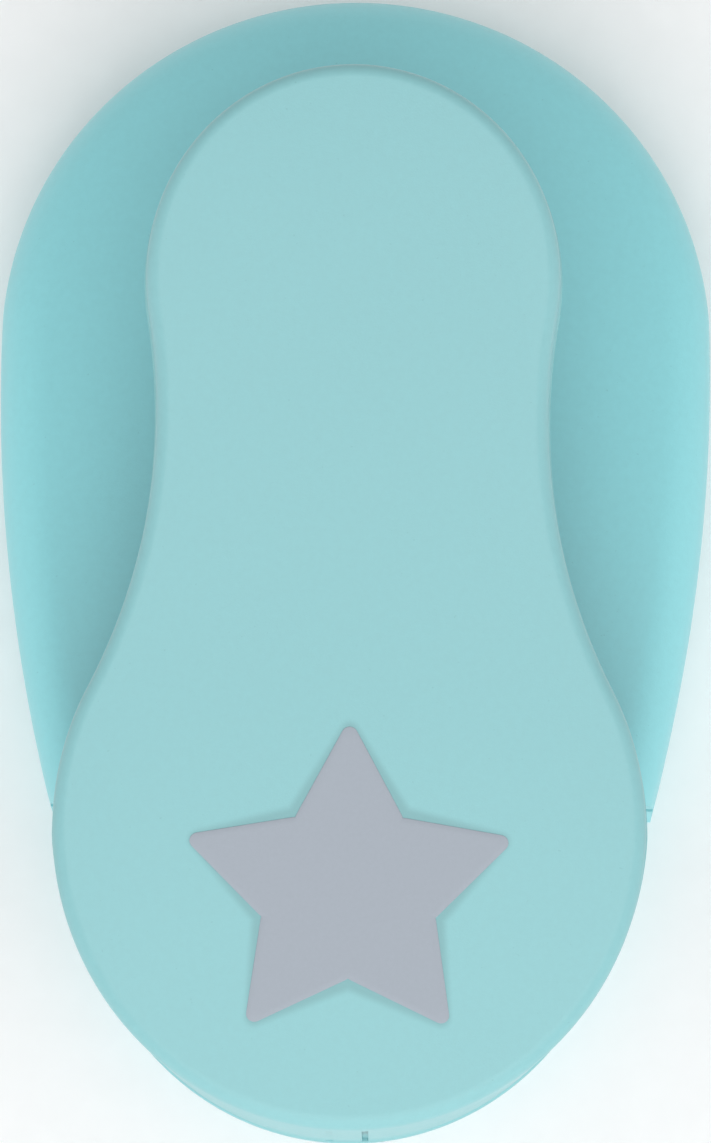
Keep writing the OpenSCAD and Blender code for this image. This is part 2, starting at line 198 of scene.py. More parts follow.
class BodySizes(bpy.types.PropertyGroup):
    side_r: FloatProperty(
        name="Side radius", description="Radius of the body's long sides",
        default=140 * MM, unit="LENGTH")
    dome_r: FloatProperty(
        name="Dome radius", description="Radius of the dome",
        default=150 * MM, unit="LENGTH")
    edge_r: FloatProperty(
        name="Edge radius", description="Rounding between the side and the dome",
        default=4.5 * MM, unit="LENGTH")
    wall: FloatProperty(
        name="Wall", description="Thickness of the shell",
        default=1.8 * MM, unit="LENGTH")
    widest: FloatProperty(
        name="Widest place", description="How far ahead of the back arc's centre the long sides are widest",
        default=2.7 * MM, unit="LENGTH")
    join: FloatProperty(
        name="Join", description="How far behind the back arc's centre the long sides meet the arc",
        default=2.25 * MM, unit="LENGTH")
    apex: FloatProperty(
        name="Dome apex", description="How far ahead of the back arc's centre the dome is highest",
        default=10 * MM, unit="LENGTH")
    gap: FloatProperty(
        name="Gap", description="Clearance round the metal parts in the mouth",
        default=0.4 * MM, unit="LENGTH")
    ledge_inset: FloatProperty(
        name="Ledge inset", description="How far the mouth's straight back part is narrower than its arc",
        default=3.1 * MM, unit="LENGTH")
    slot_stop: FloatProperty(
        name="Slot stop", description="How far the open slot ends ahead of the spacer's back edge",
        default=5.5 * MM, unit="LENGTH")
    recess: FloatProperty(
        name="Recess", description="Depth of the stop pad's recess below the top of the dome",
        default=0.8 * MM, unit="LENGTH")


class SpringSizes(bpy.types.PropertyGroup):
    wire: FloatProperty(
        name="Wire", description="Diameter of the spring wire",
        default=0.6 * MM, unit="LENGTH")
    turns: FloatProperty(
        name="Turns", description="Turns between the closed ends", default=4.0)


class Finish(bpy.types.PropertyGroup):
    # The lever and body are one teal plastic. Their colours differ as painted light: the body's is lighter
    # and more saturated to brighten its shade, the lever's darker to tone down its lit top.
    lever: FloatVectorProperty(
        name="Lever plastic", description="Colour of the lever cover", subtype="COLOR",
        size=3, default=(0.246, 0.525, 0.550), min=0, max=1)
    body: FloatVectorProperty(
        name="Body plastic", description="Colour of the body shell and tray", subtype="COLOR",
        size=3, default=(0.283, 0.695, 0.740), min=0, max=1)
    star: FloatVectorProperty(
        name="Star", description="Colour of the star", subtype="COLOR",
        size=3, default=(0.350, 0.390, 0.443), min=0, max=1)


class Studio(bpy.types.PropertyGroup):
    tilt: FloatProperty(
        name="Forward tilt", description="Tilt of the view from straight down, towards the front",
        default=math.radians(8.9), unit="ROTATION")
    lean: FloatProperty(
        name="Side tilt", description="Tilt of the view from straight down, to the right",
        default=math.radians(0.49), unit="ROTATION")
    roll: FloatProperty(
        name="Roll", description="Turn of the picture about the line of sight",
        default=math.radians(0.55), unit="ROTATION")
    distance: FloatProperty(
        name="Distance", description="Distance of the camera", default=0.7064, unit="LENGTH")
    lens: FloatProperty(
        name="Lens", description="Focal length on a 36 mm sensor", default=276.97)
    sky: FloatProperty(
        name="Sky", description="Strength of the white light from all round", default=0.58)
    key_side: FloatProperty(
        name="Key light side", description="Angle of the key light from straight up, to the right",
        default=math.radians(3), unit="ROTATION")
    key_front: FloatProperty(
        name="Key light front", description="Angle of the key light from straight up, to the front",
        default=math.radians(27), unit="ROTATION")
    key_distance: FloatProperty(
        name="Key light distance", description="Distance of the key light", default=1.0,
        unit="LENGTH")
    key_size: FloatProperty(
        name="Key light size", description="Side of the square key light", default=0.9,
        unit="LENGTH")
    key_power: FloatProperty(
        name="Key light power", description="Power of the key light in watts", default=3.8)
    fill_front: FloatProperty(
        name="Fill light front", description="Angle of the fill light from straight up, to the front",
        default=math.radians(66), unit="ROTATION")
    fill_power: FloatProperty(
        name="Fill light power", description="Power of the fill light in watts", default=3.4)
    rim_side: FloatProperty(
        name="Rim light side", description="Angle of both rim lights from straight up, to the side",
        default=math.radians(68), unit="ROTATION")
    rim_front: FloatProperty(
        name="Rim light front", description="Angle of both rim lights from straight up, to the front",
        default=math.radians(35), unit="ROTATION")
    right_power: FloatProperty(
        name="Right rim light power", description="Power of the right rim light in watts",
        default=1.3)
    left_power: FloatProperty(
        name="Left rim light power", description="Power of the left rim light in watts",
        default=1.0)


SETTINGS = {
    "punch_lever": LeverSizes,
    "punch_star": StarSizes,
    "punch_body": BodySizes,
    "punch_spring": SpringSizes,
    "punch_finish": Finish,
    "punch_studio": Studio,
}


# ---------------------------------------------------------------- mesh helpers


def keep_sharp(bm):
    """Marks the edges that are to stay sharp on a smooth piece."""
    for edge in bm.edges:
        if len(edge.link_faces) == 2:
            edge.smooth = edge.calc_face_angle(math.pi) < SHARP_ANGLE


def new_piece(name, bm):
    """A new object from a bmesh, with smooth faces and sharp edges."""
    bmesh.ops.recalc_face_normals(bm, faces=bm.faces)
    for face in bm.faces:
        face.smooth = True
    keep_sharp(bm)
    mesh = bpy.data.meshes.new(name)
    bm.to_mesh(mesh)
    bm.free()
    piece = bpy.data.objects.new(name, mesh)
    bpy.context.scene.collection.objects.link(piece)
    return piece


def lofted(name, rings):
    """A closed skin through rings of points with the same count, its first and last ring filled."""
    bm = bmesh.new()
    rows = [[bm.verts.new(point) for point in ring] for ring in rings]
    count = len(rows[0])
    for one, other in zip(rows, rows[1:]):
        for i in range(count):
            j = (i + 1) % count
            bm.faces.new((one[i], one[j], other[j], other[i]))
    bm.faces.new(rows[0])
    bm.faces.new(reversed(rows[-1]))
    return new_piece(name, bm)


def block(name, low_corner, high_corner):
    """A box as a cutter."""
    size = Vector(high_corner) - Vector(low_corner)
    place = Matrix.Translation((Vector(low_corner) + Vector(high_corner)) / 2)
    bm = bmesh.new()
    bmesh.ops.create_cube(bm, size=1, matrix=place @ Matrix.Diagonal((*size, 1)))
    return new_piece(name, bm)


def round_post(name, x, y, z0, z1, radius, sides=64):
    """A round cutter that stands on end."""
    turns = [2 * math.pi * i / sides for i in range(sides)]
    return lofted(name, [[(x + radius * math.cos(turn), y + radius * math.sin(turn), z)
                          for turn in turns] for z in (z0, z1)])


def carve(piece, cutters):
    """Cuts the cutters out of a piece, and removes them."""
    for cutter in cutters:
        cut = piece.modifiers.new("cut", "BOOLEAN")
        cut.operation = "DIFFERENCE"
        cut.solver = "MANIFOLD"
        cut.object = cutter
    bpy.context.view_layer.update()
    graph = bpy.context.evaluated_depsgraph_get()
    mesh = bpy.data.meshes.new_from_object(piece.evaluated_get(graph))
    piece.modifiers.clear()
    piece.data = mesh
    for cutter in cutters:
        bpy.data.objects.remove(cutter)
    bm = bmesh.new()
    bm.from_mesh(mesh)
    keep_sharp(bm)
    bm.to_mesh(mesh)
    bm.free()


def arc(centre, radius, start, end, steps):
    """Points of an arc, its last point left out."""
    turns = [start + (end - start) * i / steps for i in range(steps)]
    return [(centre[0] + radius * math.cos(t), centre[1] + radius * math.sin(t)) for t in turns]


def mirrored(half, back):
    """A whole outline from its right half, which runs to the middle of the back."""
    return half + [back] + [(-x, y) for x, y in reversed(half)]


def paint(piece, material):
    """Gives a piece one material in place of any other."""
    piece.data.materials.clear()
    piece.data.materials.append(material)


def dress(piece, material, body):
    """Gives a piece its material and the body that it rides on."""
    paint(piece, material)
    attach(piece, body)


# ---------------------------------------------------------------- materials


class Nodes:
    """Short names for building a material's nodes."""

    def __init__(self, name):
        self.material = bpy.data.materials.new(name)
        self.material.use_nodes = True
        self.tree = self.material.node_tree
        self.shader = self.tree.nodes["Principled BSDF"]

    def add(self, kind, **values):
        node = self.tree.nodes.new(kind)
        for key, value in values.items():
            setattr(node, key, value)
        return node

    def link(self, source, target):
        self.tree.links.new(source, target)

    def set(self, node, **values):
        for key, value in values.items():
            node.inputs[key.replace("_", " ")].default_value = value

    def place(self):
        return self.add("ShaderNodeTexCoord").outputs["Object"]

    def noise(self, scale, detail=2.0, roughness=0.5, vector=None):
        node = self.add("ShaderNodeTexNoise")
        self.set(node, Scale=scale, Detail=detail, Roughness=roughness)
        self.link(vector or self.place(), node.inputs["Vector"])
        return node.outputs["Fac"]

    def math(self, operation, one, other=None):
        node = self.add("ShaderNodeMath", operation=operation)
        for socket, value in zip(node.inputs, (one, other)):
            if value is None:
                continue
            if isinstance(value, (int, float)):
                socket.default_value = value
            else:
                self.link(value, socket)
        return node.outputs[0]

    def remap(self, value, from_low, from_high, to_low, to_high, smooth=False):
        node = self.add("ShaderNodeMapRange")
        if smooth:
            node.interpolation_type = "SMOOTHSTEP"
        self.link(value, node.inputs["Value"])
        for key, number in zip(
            ("From Min", "From Max", "To Min", "To Max"), (from_low, from_high, to_low, to_high)
        ):
            node.inputs[key].default_value = number
        return node.outputs["Result"]

    def mix(self, factor, one, other):
        node = self.add("ShaderNodeMix", data_type="RGBA")
        if isinstance(factor, (int, float)):
            node.inputs["Factor"].default_value = factor
        else:
            self.link(factor, node.inputs["Factor"])
        for socket, value in ((node.inputs[6], one), (node.inputs[7], other)):
            if isinstance(value, (tuple, list)):
                socket.default_value = (*value[:3], 1)
            else:
                self.link(value, socket)
        return node.outputs[2]

    def colour_by(self, factor, low, high, one, other):
        """The base colour, from one to other as factor goes from low to high."""
        colour = self.mix(self.remap(factor, low, high, 0, 1), one, other)
        self.link(colour, self.shader.inputs["Base Color"])

    def rough_by(self, factor, low, high, one, other):
        """The roughness, from one to other as factor goes from low to high."""
        self.link(self.remap(factor, low, high, one, other), self.shader.inputs["Roughness"])

    def dot(self, x, y, vector):
        """Length of (x, y) along a flat unit vector."""
        return self.math("ADD", self.math("MULTIPLY", x, vector.x), self.math("MULTIPLY", y, vector.y))

    def length(self, x, y):
        square = self.math("ADD", self.math("MULTIPLY", x, x), self.math("MULTIPLY", y, y))
        return self.math("SQRT", square)

    def bump(self, height, strength, distance):
        node = self.add("ShaderNodeBump")
        self.set(node, Strength=strength, Distance=distance)
        self.link(height, node.inputs["Height"])
        self.link(node.outputs["Normal"], self.shader.inputs["Normal"])


def shade(colour, factor):
    return tuple(max(0.0, min(1.0, channel * factor)) for channel in colour)


def plastic(name, colour, darker=None, darkness=STAR_SHADOW_DARK):
    """Moulded matt plastic with a fine spark-eroded grain, and painted shade where darker(nodes) says."""
    n = Nodes(name)
    place = n.place()
    broad = n.noise(45, 2, 0.5, place)
    mottle = n.noise(1600, 3, 0.6, place)
    grain = n.noise(5200, 2, 0.7, place)
    specks = n.noise(3100, 1, 0.5, place)
    tone = n.mix(n.remap(broad, 0.3, 0.7, 0, 1), shade(colour, 0.99), shade(colour, 1.01))
    speckle = n.mix(n.remap(mottle, 0.3, 0.7, 0, 1), shade(colour, 0.965), shade(colour, 1.03))
    out = n.mix(0.5, tone, speckle)
    out = n.mix(n.remap(specks, 0.76, 0.82, 0, 0.4), out, shade(colour, 0.75))
    # darker(nodes) is a mask of painted shade, mixed in towards the colour at darkness.
    if darker:
        out = n.mix(darker(n, place), out, shade(colour, darkness))
    n.link(out, n.shader.inputs["Base Color"])
    n.rough_by(mottle, 0.3, 0.7, 0.34, 0.42)
    n.bump(n.math("ADD", n.math("MULTIPLY", mottle, 0.5), grain), 0.35, 0.03 * MM)
    n.set(n.shader, Specular_IOR_Level=0.5)
    return n.material


def star_print(name, colour):
    """Flat satin print with a hardly visible texture."""
    n = Nodes(name)
    fine = n.noise(3000, 2, 0.6)
    n.colour_by(fine, 0.3, 0.7, shade(colour, 0.985), shade(colour, 1.015))
    n.rough_by(fine, 0.3, 0.7, 0.55, 0.62)
    n.bump(fine, 0.12, 0.02 * MM)
    n.set(n.shader, Specular_IOR_Level=0.3)
    return n.material


def ground_steel(name, colour=(0.56, 0.57, 0.59), direction=(1, 60, 1)):
    """Surface-ground steel: fine parallel lines, a few darker patches."""
    n = Nodes(name)
    stretch = n.add("ShaderNodeMapping")
    stretch.inputs["Scale"].default_value = direction
    n.link(n.place(), stretch.inputs["Vector"])
    lines = n.noise(260, 4, 0.65, stretch.outputs["Vector"])
    patches = n.noise(120, 3, 0.6)
    n.colour_by(patches, 0.35, 0.75, colour, shade(colour, 0.86))
    n.rough_by(lines, 0.3, 0.7, 0.24, 0.38)
    n.bump(lines, 0.25, 0.02 * MM)
    n.set(n.shader, Metallic=1.0)
    return n.material


def cast_metal(name, colour=(0.47, 0.48, 0.50)):
    """Die-cast zinc: dull, slightly pitted, with cloudy flow marks."""
    n = Nodes(name)
    cloud = n.noise(160, 4, 0.6)
    pits = n.noise(2600, 3, 0.7)
    n.colour_by(cloud, 0.3, 0.7, shade(colour, 0.88), shade(colour, 1.08))
    n.rough_by(cloud, 0.3, 0.7, 0.42, 0.55)
    n.bump(n.math("ADD", pits, n.math("MULTIPLY", cloud, 0.6)), 0.35, 0.05 * MM)
    n.set(n.shader, Metallic=0.9)
    return n.material


def plated(name, colour=(0.62, 0.62, 0.63)):
    """Bright zinc plating with faint yellow-blue tints and handling marks."""
    n = Nodes(name)
    tint = n.noise(500, 2, 0.5)
    marks = n.noise(1800, 4, 0.7)
    n.colour_by(tint, 0.35, 0.65, colour, (0.60, 0.61, 0.56))
    n.rough_by(marks, 0.35, 0.7, 0.2, 0.36)
    n.bump(marks, 0.15, 0.02 * MM)
    n.set(n.shader, Metallic=1.0)
    return n.material


def wire_steel(name):
    """Drawn spring wire, darker than the plates, with lines across."""
    n = Nodes(name)
    marks = n.noise(4000, 3, 0.6)
    n.colour_by(marks, 0.3, 0.7, (0.36, 0.36, 0.37), (0.50, 0.50, 0.51))
    n.rough_by(marks, 0.3, 0.7, 0.25, 0.4)
    n.bump(marks, 0.15, 0.01 * MM)
    n.set(n.shader, Metallic=1.0)
    return n.material


def rubber(name):
    """Matt black rubber with a dusty bloom."""
    n = Nodes(name)
    bloom = n.noise(900, 4, 0.7)
    n.colour_by(bloom, 0.4, 0.75, (0.022, 0.022, 0.024), (0.06, 0.06, 0.062))
    n.rough_by(bloom, 0.3, 0.7, 0.7, 0.85)
    n.bump(bloom, 0.3, 0.04 * MM)
    n.set(n.shader, Specular_IOR_Level=0.3)
    return n.material


def paper_floor(name):
    """Plain white studio paper."""
    n = Nodes(name)
    fibre = n.noise(400, 2, 0.5)
    n.colour_by(fibre, 0.3, 0.7, (0.96, 0.96, 0.96), (0.98, 0.98, 0.98))
    n.set(n.shader, Roughness=0.9, Specular_IOR_Level=0.1)
    return n.material


# ---------------------------------------------------------------- the lever


def lever_outline(s, inset):
    """Plan outline of the lever: thumb pad and front disc joined by two hollow arcs."""
    pad_y = LEVER_BACK_Y - s.pad_r
    reach = pad_y - LEVER_FRONT_Y
    front, pad, waist = LEVER_FRONT_R, s.pad_r, s.waist_r
    rise = (reach**2 + (front - pad) * (front + pad + 2 * waist)) / (2 * reach)
    side = math.sqrt((front + waist) ** 2 - rise**2)
    front_turn = math.atan2(rise, side)
    pad_turn = math.atan2(rise - reach, side)
    half = arc((0, LEVER_FRONT_Y), front - inset, -math.pi / 2, front_turn, 72)
    half += arc(
        (side, LEVER_FRONT_Y + rise), waist + inset, math.pi + front_turn, math.pi + pad_turn, 40
    )
    half += arc((0, pad_y), pad - inset, pad_turn, math.pi / 2, 48)
    half.append((0, pad_y + pad - inset))
    return half[1:-1], (0, LEVER_FRONT_Y - front + inset), (0, pad_y + pad - inset)


def tucked(s, x, y, share):
    """Draws a point of the front disc in towards its centre; share is 0 at the top, 1 at the bottom."""
    ahead = LEVER_FRONT_Y - y
    radius = math.hypot(x, ahead)
    if ahead <= 0:
        return x, y
    facing = ahead / radius
    lower = min(s.side_tuck * facing, s.front_tuck * (1 - facing))
    scale = 1 - ((1 - share) * s.front_lean * facing + share * lower) / radius
    return x * scale, LEVER_FRONT_Y - ahead * scale


def lever_ring(s, inset, height, share=0.0):
    """The outline as a ring of points; height gives z at a place."""
    half, front, back = lever_outline(s, inset)
    ring = [tucked(s, x, y, share) for x, y in [front] + mirrored(half, back)]
    return [(x, y, height(y)) for x, y in ring]


def lever_top_z(s, y):
    return PIN.z + s.over_pin / math.cos(s.slope) + (y - PIN.y) * math.tan(s.slope)


def skirt_z(y):
    """The lower edge of the lever's side walls, level when the lever is pressed home."""
    return LEVER_LOW.z + (y - LEVER_LOW.y) * math.tan(SWING)


def star_side_distance(star):
    """Distance from the star's centre to the line of each of its sides."""
    inner = star.radius * star.waist
    corner = Vector((math.cos(FIFTH / 2), math.sin(FIFTH / 2))) * inner
    side = (corner - Vector((star.radius, 0))).normalized()
    return abs(star.radius * side.y)


def star_reach(star):
    """Distance from the star's centre to the end of its rounded points."""
    return star.radius - star.tip_r * (star.radius / star_side_distance(star) - 1)


def star_frame(s):
    """Centre of the star on the lever's top, and the matrix of that sloping plane."""
    front_points = low("star_inlay").y
    y = front_points + (STAR_TIP.y - front_points) * STAR_CENTRE
    centre = Vector((0, y, lever_top_z(s, y)))
    return Matrix.Translation(centre) @ Matrix.Rotation(s.slope, 4, "X")


def star_painted_shadow(n, place):
    """Painted shadow: a soft darker line just outside the raised star, from the distance to its nearest
    side.
    """
    s = bpy.context.scene.punch_lever
    star = bpy.context.scene.punch_star
    centre = star_frame(s).translation
    split = n.add("ShaderNodeSeparateXYZ")
    n.link(place, split.inputs[0])
    across = split.outputs["X"]
    along = n.math("DIVIDE", n.math("SUBTRACT", split.outputs["Y"], centre.y), math.cos(s.slope))
    turn = n.math("ADD", n.math("ARCTAN2", across, along), FIFTH / 2)
    folded = n.math("ABSOLUTE", n.math("SUBTRACT", n.math("FLOORED_MODULO", turn, FIFTH), FIFTH / 2))
    reach = n.length(across, along)
    inner = star.radius * star.waist
    tip = Vector((star_reach(star) - star.tip_r, 0))
    corner = Vector((math.cos(FIFTH / 2), math.sin(FIFTH / 2))) * inner
    side = (corner - tip).normalized()
    out = Vector((-side.y, side.x))
    if out.dot(tip) < 0:
        out = -out
    x = n.math("SUBTRACT", n.math("MULTIPLY", reach, n.math("COSINE", folded)), tip.x)
    y = n.math("MULTIPLY", reach, n.math("SINE", folded))
    past_tip = n.math("MINIMUM", n.dot(x, y, side), 0)
    away = n.length(past_tip, n.dot(x, y, out))
    return n.remap(away, star.tip_r * 0.5, star.tip_r + star.shadow_width, star.shadow_depth, 0, smooth=True)


def slit_painted_shade(n, place):
    """Painted shade in the front slits: deeper on the right, and fading towards the lower edge."""
    s = bpy.context.scene.punch_lever
    base = skirt_z(LEVER_FRONT_Y - LEVER_FRONT_R) + s.bead_h
    split = n.add("ShaderNodeSeparateXYZ")
    n.link(place, split.inputs[0])
    upper = n.remap(split.outputs["Z"], base + 0.3 * s.slit_h, base + 0.8 * s.slit_h, 0, 1)
    right = n.remap(split.outputs["X"], -s.slit_x * 0.5, s.slit_x * 0.5, 0.1, 0.95)
    return n.math("MULTIPLY", upper, right)


class PUNCH_OT_lever_cover(bpy.types.Operator):
    """Builds the moulded lever cover with its rounded edge, leaning walls and front slits"""

    bl_idname = "punch.lever_cover"
    bl_label = "Lever cover"

    def execute(self, context):
        s = context.scene.punch_lever
        rim = 0.2 * MM
        steps = 8  # over the rounded top edge
        parts = 4  # down the wall

        def top(drop):
            return lambda y: lever_top_z(s, y) - drop

        def skirt(rise):
            return lambda y: skirt_z(y) + rise

        def wall(part):
            upper, lower = top(s.edge_r), skirt(s.bead_h)
            return lambda y: (1 - part) * upper(y) + part * lower(y)

        rings = []
        for i in range(steps + 1):
            turn = math.pi / 2 * i / steps
            inset = s.draft + s.edge_r * (1 - math.sin(turn))
            rings.append(lever_ring(s, inset, top(s.edge_r * (1 - math.cos(turn)))))
        for i in range(1, parts + 1):
            part = i / parts
            inset = s.draft + (s.bead - s.draft) * part
            rings.append(lever_ring(s, inset, wall(part), part))
        rings.append(lever_ring(s, 0, skirt(s.bead_h - s.bead), 1))
        rings.append(lever_ring(s, 0, skirt(rim), 1))
        rings.append(lever_ring(s, rim * 0.3, skirt(rim * 0.3), 1))
        rings.append(lever_ring(s, rim, skirt_z, 1))
        rings.append(lever_ring(s, s.wall - rim, skirt_z, 1))
        rings.append(lever_ring(s, s.wall, skirt(rim), 1))
        rings.append(lever_ring(s, s.wall, top(s.top + rim)))
        rings.append(lever_ring(s, s.wall + rim, top(s.top)))
        cover = lofted("lever_cover_moulded", rings)
        front = LEVER_FRONT_Y - LEVER_FRONT_R
        base = skirt_z(front) + s.bead_h
        head = lever_top_z(s, front) - s.edge_r
        ahead = front - 1 * MM
        reach = s.slit_w * 0.51  # a hair over half a slit, to hold all of its faces
        cutters = []
        for x, depth in ((s.slit_x, s.slit_deep), (-s.slit_x, s.slit_shallow)):
            rings = []
            for z in (base, base + s.slit_h):
                part = (head - z) / (head - base)
                face = front + part * s.bead + (1 - part) * (s.draft + s.front_lean) + depth
                left, right = x - s.slit_w / 2, x + s.slit_w / 2
                rings.append(
                    [(left, ahead, z), (right, ahead, z), (right, face, z), (left, face, z)])
            cutters.append(lofted("slit", rings))
        carve(cover, cutters)
        colour = context.scene.punch_finish.lever
        # The cover's plastic paints a soft shadow round the star.
        dress(cover, plastic("lever_plastic_grain_star_shadow", colour, star_painted_shadow), "lever")
        # The slit faces get a second plastic with painted shade in them.
        cover.data.materials.append(
            plastic("lever_plastic_slit_shade", colour, slit_painted_shade, SLIT_SHADE_DARK))
        slit_back = front + s.draft + s.front_lean + s.slit_deep
        points = cover.data.vertices
        # Faces inside the slits take the plastic with the painted shade.
        for face in cover.data.polygons:
            in_slit = all(abs(abs(points[i].co.x) - s.slit_x) < reach for i in face.vertices)
            if in_slit and face.center.y < slit_back and face.center.z < base + s.slit_h:
                face.material_index = 1
                face.use_smooth = False
        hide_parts("lever_cover")
        return {"FINISHED"}


# ---------------------------------------------------------------- the star


def star_outline(star, inset):
    """Star with rounded points and softened inner corners, its sides moved in by inset."""
    corner_turn = math.radians(0.9)
    corner_fullness = 0.010
    inner = star.radius * star.waist
    distance = star_side_distance(star)
    half = math.asin(distance / star.radius)
    hub = star.radius - star.tip_r / math.sin(half)
    scale = (distance - inset) / distance
    points = []
    for i in range(5):
        turn = math.pi / 2 + FIFTH * i
        for j in range(-4, 5):
            lean = turn + j * (math.pi / 2 - half) / 4
            points.append(Vector((hub * math.cos(turn) + star.tip_r * math.cos(lean),
                                  hub * math.sin(turn) + star.tip_r * math.sin(lean))))
        for j in (-2, -1, 0, 1, 2):
            bend = turn + FIFTH / 2 + j * corner_turn
            reach = inner * (1 + abs(j) * corner_fullness)
            points.append(Vector((math.cos(bend), math.sin(bend))) * reach)
    return [(point.x * scale, point.y * scale * star.length) for point in points]


class PUNCH_OT_star(bpy.types.Operator):
    """Builds the flat star on the lever, with rounded points and a softened edge"""

    bl_idname = "punch.star"
    bl_label = "Star"

    def execute(self, context):
        s = context.scene.punch_star
        plane = star_frame(context.scene.punch_lever)
        edge = 0.05 * MM
        root = -0.3 * MM
        face_ring = 0.5 * MM
        levels = ((0, root), (0, s.proud - edge), (edge * 0.3, s.proud - edge * 0.3),
                  (edge, s.proud), (face_ring, s.proud))
        rings = [[plane @ Vector((x, y, z)) for x, y in star_outline(s, inset)]
                 for inset, z in levels]
        star = lofted("star_face", rings)
        dress(star, star_print("star_print_satin", context.scene.punch_finish.star),
              "lever")
        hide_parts("star_inlay")
        return {"FINISHED"}


# ---------------------------------------------------------------- the body


def body_outline(s, inset, front):
    """Plan outline of the egg-shaped body, cut off straight at front."""
    back_y = BODY_BACK_Y - BODY_R
    side_y = back_y - s.widest
    side_c = BODY_R - s.side_r
    radius = s.side_r - inset
    start = math.asin((front - side_y) / radius)
    end = math.asin((back_y + s.join - side_y) / radius)
    half = arc((side_c, side_y), radius, start, end, 60)
    half += arc((0, back_y), BODY_R - inset, math.asin(s.join / BODY_R), math.pi / 2, 60)
    return mirrored(half, (0, BODY_BACK_Y - inset))


def dome_z(s, x, y, sunk):
    """Height of the dome at a place, on a sphere that lies sunk below the outer one."""
    apex_y = BODY_BACK_Y - BODY_R - s.apex
    radius = s.dome_r - sunk
    apex_z = DOME_TOP - s.dome_r
    return apex_z + math.sqrt(radius**2 - x**2 - (y - apex_y) ** 2)


def egg_rings(s, inset, front, floor, sunk, edge_r):
    """Rings of a domed egg: up the side, over the rounded edge, and in over the dome."""
    steps = 10
    crown = body_outline(s, inset + edge_r, front + inset + edge_r)
    rings = [[(x, y, floor) for x, y in body_outline(s, inset, front + inset)]]
    for i in range(steps + 1):
        turn = math.pi / 2 * i / steps
        off = inset + edge_r * (1 - math.cos(turn))
        ring = []
        for (x, y), (cx, cy) in zip(body_outline(s, off, front + off), crown):
            ring.append((x, y, dome_z(s, cx, cy, sunk) - edge_r * (1 - math.sin(turn))))
        rings.append(ring)
    hub_y = (BODY_BACK_Y + front) / 2
    for part in (0.85, 0.7, 0.55, 0.4, 0.25, 0.12, 0.03):
        ring = []
        for x, y in crown:
            px, py = x * part, hub_y + (y - hub_y) * part
            ring.append((px, py, dome_z(s, px, py, sunk)))
        rings.append(ring)
    return rings


class PUNCH_OT_body_shell(bpy.types.Operator):
    """Builds the domed egg-shaped shell with its soft edge, cut front and open mouth"""

    bl_idname = "punch.body_shell"
    bl_label = "Body shell"

    def execute(self, context):
        s = context.scene.punch_body
        guide_r = high("punch_guide").x
        ledge = high("punch_guide").y
        spacer = high("throat_spacer")
        under, over = -10 * MM, DOME_TOP + 5 * MM
        ahead = SHELL_FRONT_Y - 10 * MM
        lift = 0.05 * MM  # keeps the shell's lower edge off the tray
        overrun = 12 * MM  # puts the rounded front of the egg ahead of its cut front
        front_wall = 2 * MM  # stays between the mouth and the hollow behind it
        inner_edge = 0.6  # rounding inside, as a part of that outside
        pad_gap = 0.15 * MM
        shell = lofted("body_shell_moulded", egg_rings(
            s, 0, SHELL_FRONT_Y - overrun, SHELL_LOW_Z + lift, 0, s.edge_r))
        hollow = lofted("hollow", egg_rings(
            s, s.wall, ledge + front_wall, SHELL_LOW_Z - 1 * MM, s.wall, s.edge_r * inner_edge))
        front = block("front", (-FAR, SHELL_FRONT_Y - FAR, under), (FAR, SHELL_FRONT_Y, FAR))
        mouth = round_post("mouth", 0, LEVER_FRONT_Y, under, over, guide_r + s.gap, 128)
        back_r = guide_r - s.ledge_inset
        back = block("ledge", (-back_r, LEVER_FRONT_Y, under), (back_r, ledge + s.gap, over))
        slot_top = low("punch_guide").z
        slot = block("slot", (-FAR, ahead, under), (FAR, spacer.y - s.slot_stop, slot_top))
        seat_r = spacer.x + s.gap
        seat = block("seat", (-seat_r, ahead, under), (seat_r, spacer.y + s.gap, slot_top + s.gap))
        recess = round_post("recess", 0, middle("stop_pad").y, DOME_TOP - s.recess, over,
                            high("stop_pad").x + pad_gap)
        carve(shell, [hollow, front, mouth, back, slot, seat, recess])
        dress(shell, plastic("body_plastic_grain", context.scene.punch_finish.body),
              "body")
        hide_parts("body_shell")
        return {"FINISHED"}


# ---------------------------------------------------------------- springs


class PUNCH_OT_springs(bpy.types.Operator):
    """Winds the two return springs from round wire, with closed ends"""

    bl_idname = "punch.springs"
    bl_label = "Return springs"

    def execute(self, context):
        s = context.scene.punch_spring
        steel = wire_steel("spring_wire")
        closed = 1.0  # turns of each end that lie flat
        steps_a_turn = 28
        for node in ("return_spring_left", "return_spring_right"):
            bottom, top = low(node), high(node)
            centre = (bottom + top) / 2
            radius = (top.x - bottom.x) / 2 - s.wire / 2
            first, last = bottom.z + s.wire / 2, top.z - s.wire / 2
            total = s.turns + 2 * closed
            steps = int(total * steps_a_turn)
            curve = bpy.data.curves.new(node + "_wire", "CURVE")
            curve.dimensions = "3D"
            curve.bevel_depth = s.wire / 2
            curve.bevel_resolution = 4
            curve.use_fill_caps = True
            spline = curve.splines.new("POLY")
            spline.points.add(steps)
            for i, point in enumerate(spline.points):
                turn = total * i / steps
                if turn < closed:
                    rise = turn / closed * s.wire
                elif turn > total - closed:
                    rise = (last - first) - (total - turn) / closed * s.wire
                else:
                    span = (last - first) - 2 * s.wire
                    rise = s.wire + (turn - closed) / s.turns * span
                angle = 2 * math.pi * turn
                point.co = (centre.x + radius * math.cos(angle),
                            centre.y + radius * math.sin(angle), first + rise, 1)
            spring = bpy.data.objects.new(node + "_coil", curve)
            context.scene.collection.objects.link(spring)
            context.view_layer.update()
            mesh = bpy.data.meshes.new_from_object(
                spring.evaluated_get(context.evaluated_depsgraph_get()))
            bpy.data.objects.remove(spring)
            coil = bpy.data.objects.new(node + "_coil", mesh)
            context.scene.collection.objects.link(coil)
            for face in mesh.polygons:
                face.use_smooth = True
            dress(coil, steel, "body")
            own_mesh(coil)
            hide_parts(node)
        return {"FINISHED"}


# ---------------------------------------------------------------- CAD pieces that stay


